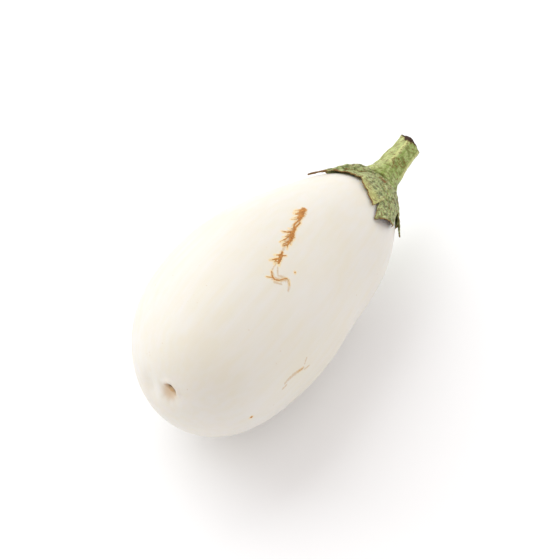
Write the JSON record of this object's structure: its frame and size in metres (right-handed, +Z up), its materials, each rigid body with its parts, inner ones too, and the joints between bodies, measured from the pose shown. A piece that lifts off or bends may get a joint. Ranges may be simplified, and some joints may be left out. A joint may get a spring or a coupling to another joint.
{
  "type": "eggplant",
  "caption": "White eggplant lying on its belly: a bowed pear-like fruit with a green cap of pointed sepals and a short ribbed cut stem.",
  "frame": {"origin": "middle of the whole object's footprint, on the surface it rests on", "axes": "+Z up, +Y along the fruit's length towards the stem, +X across it"},
  "size_m": [0.0852, 0.1974, 0.0843],
  "materials": {
    "skin": "satin",
    "sepal": "matte",
    "stalk": "matte"
  },
  "bodies": {
    "root": {"fruit": "skin", "calyx": "sepal", "stem": "stalk"}
  },
  "joints": []
}
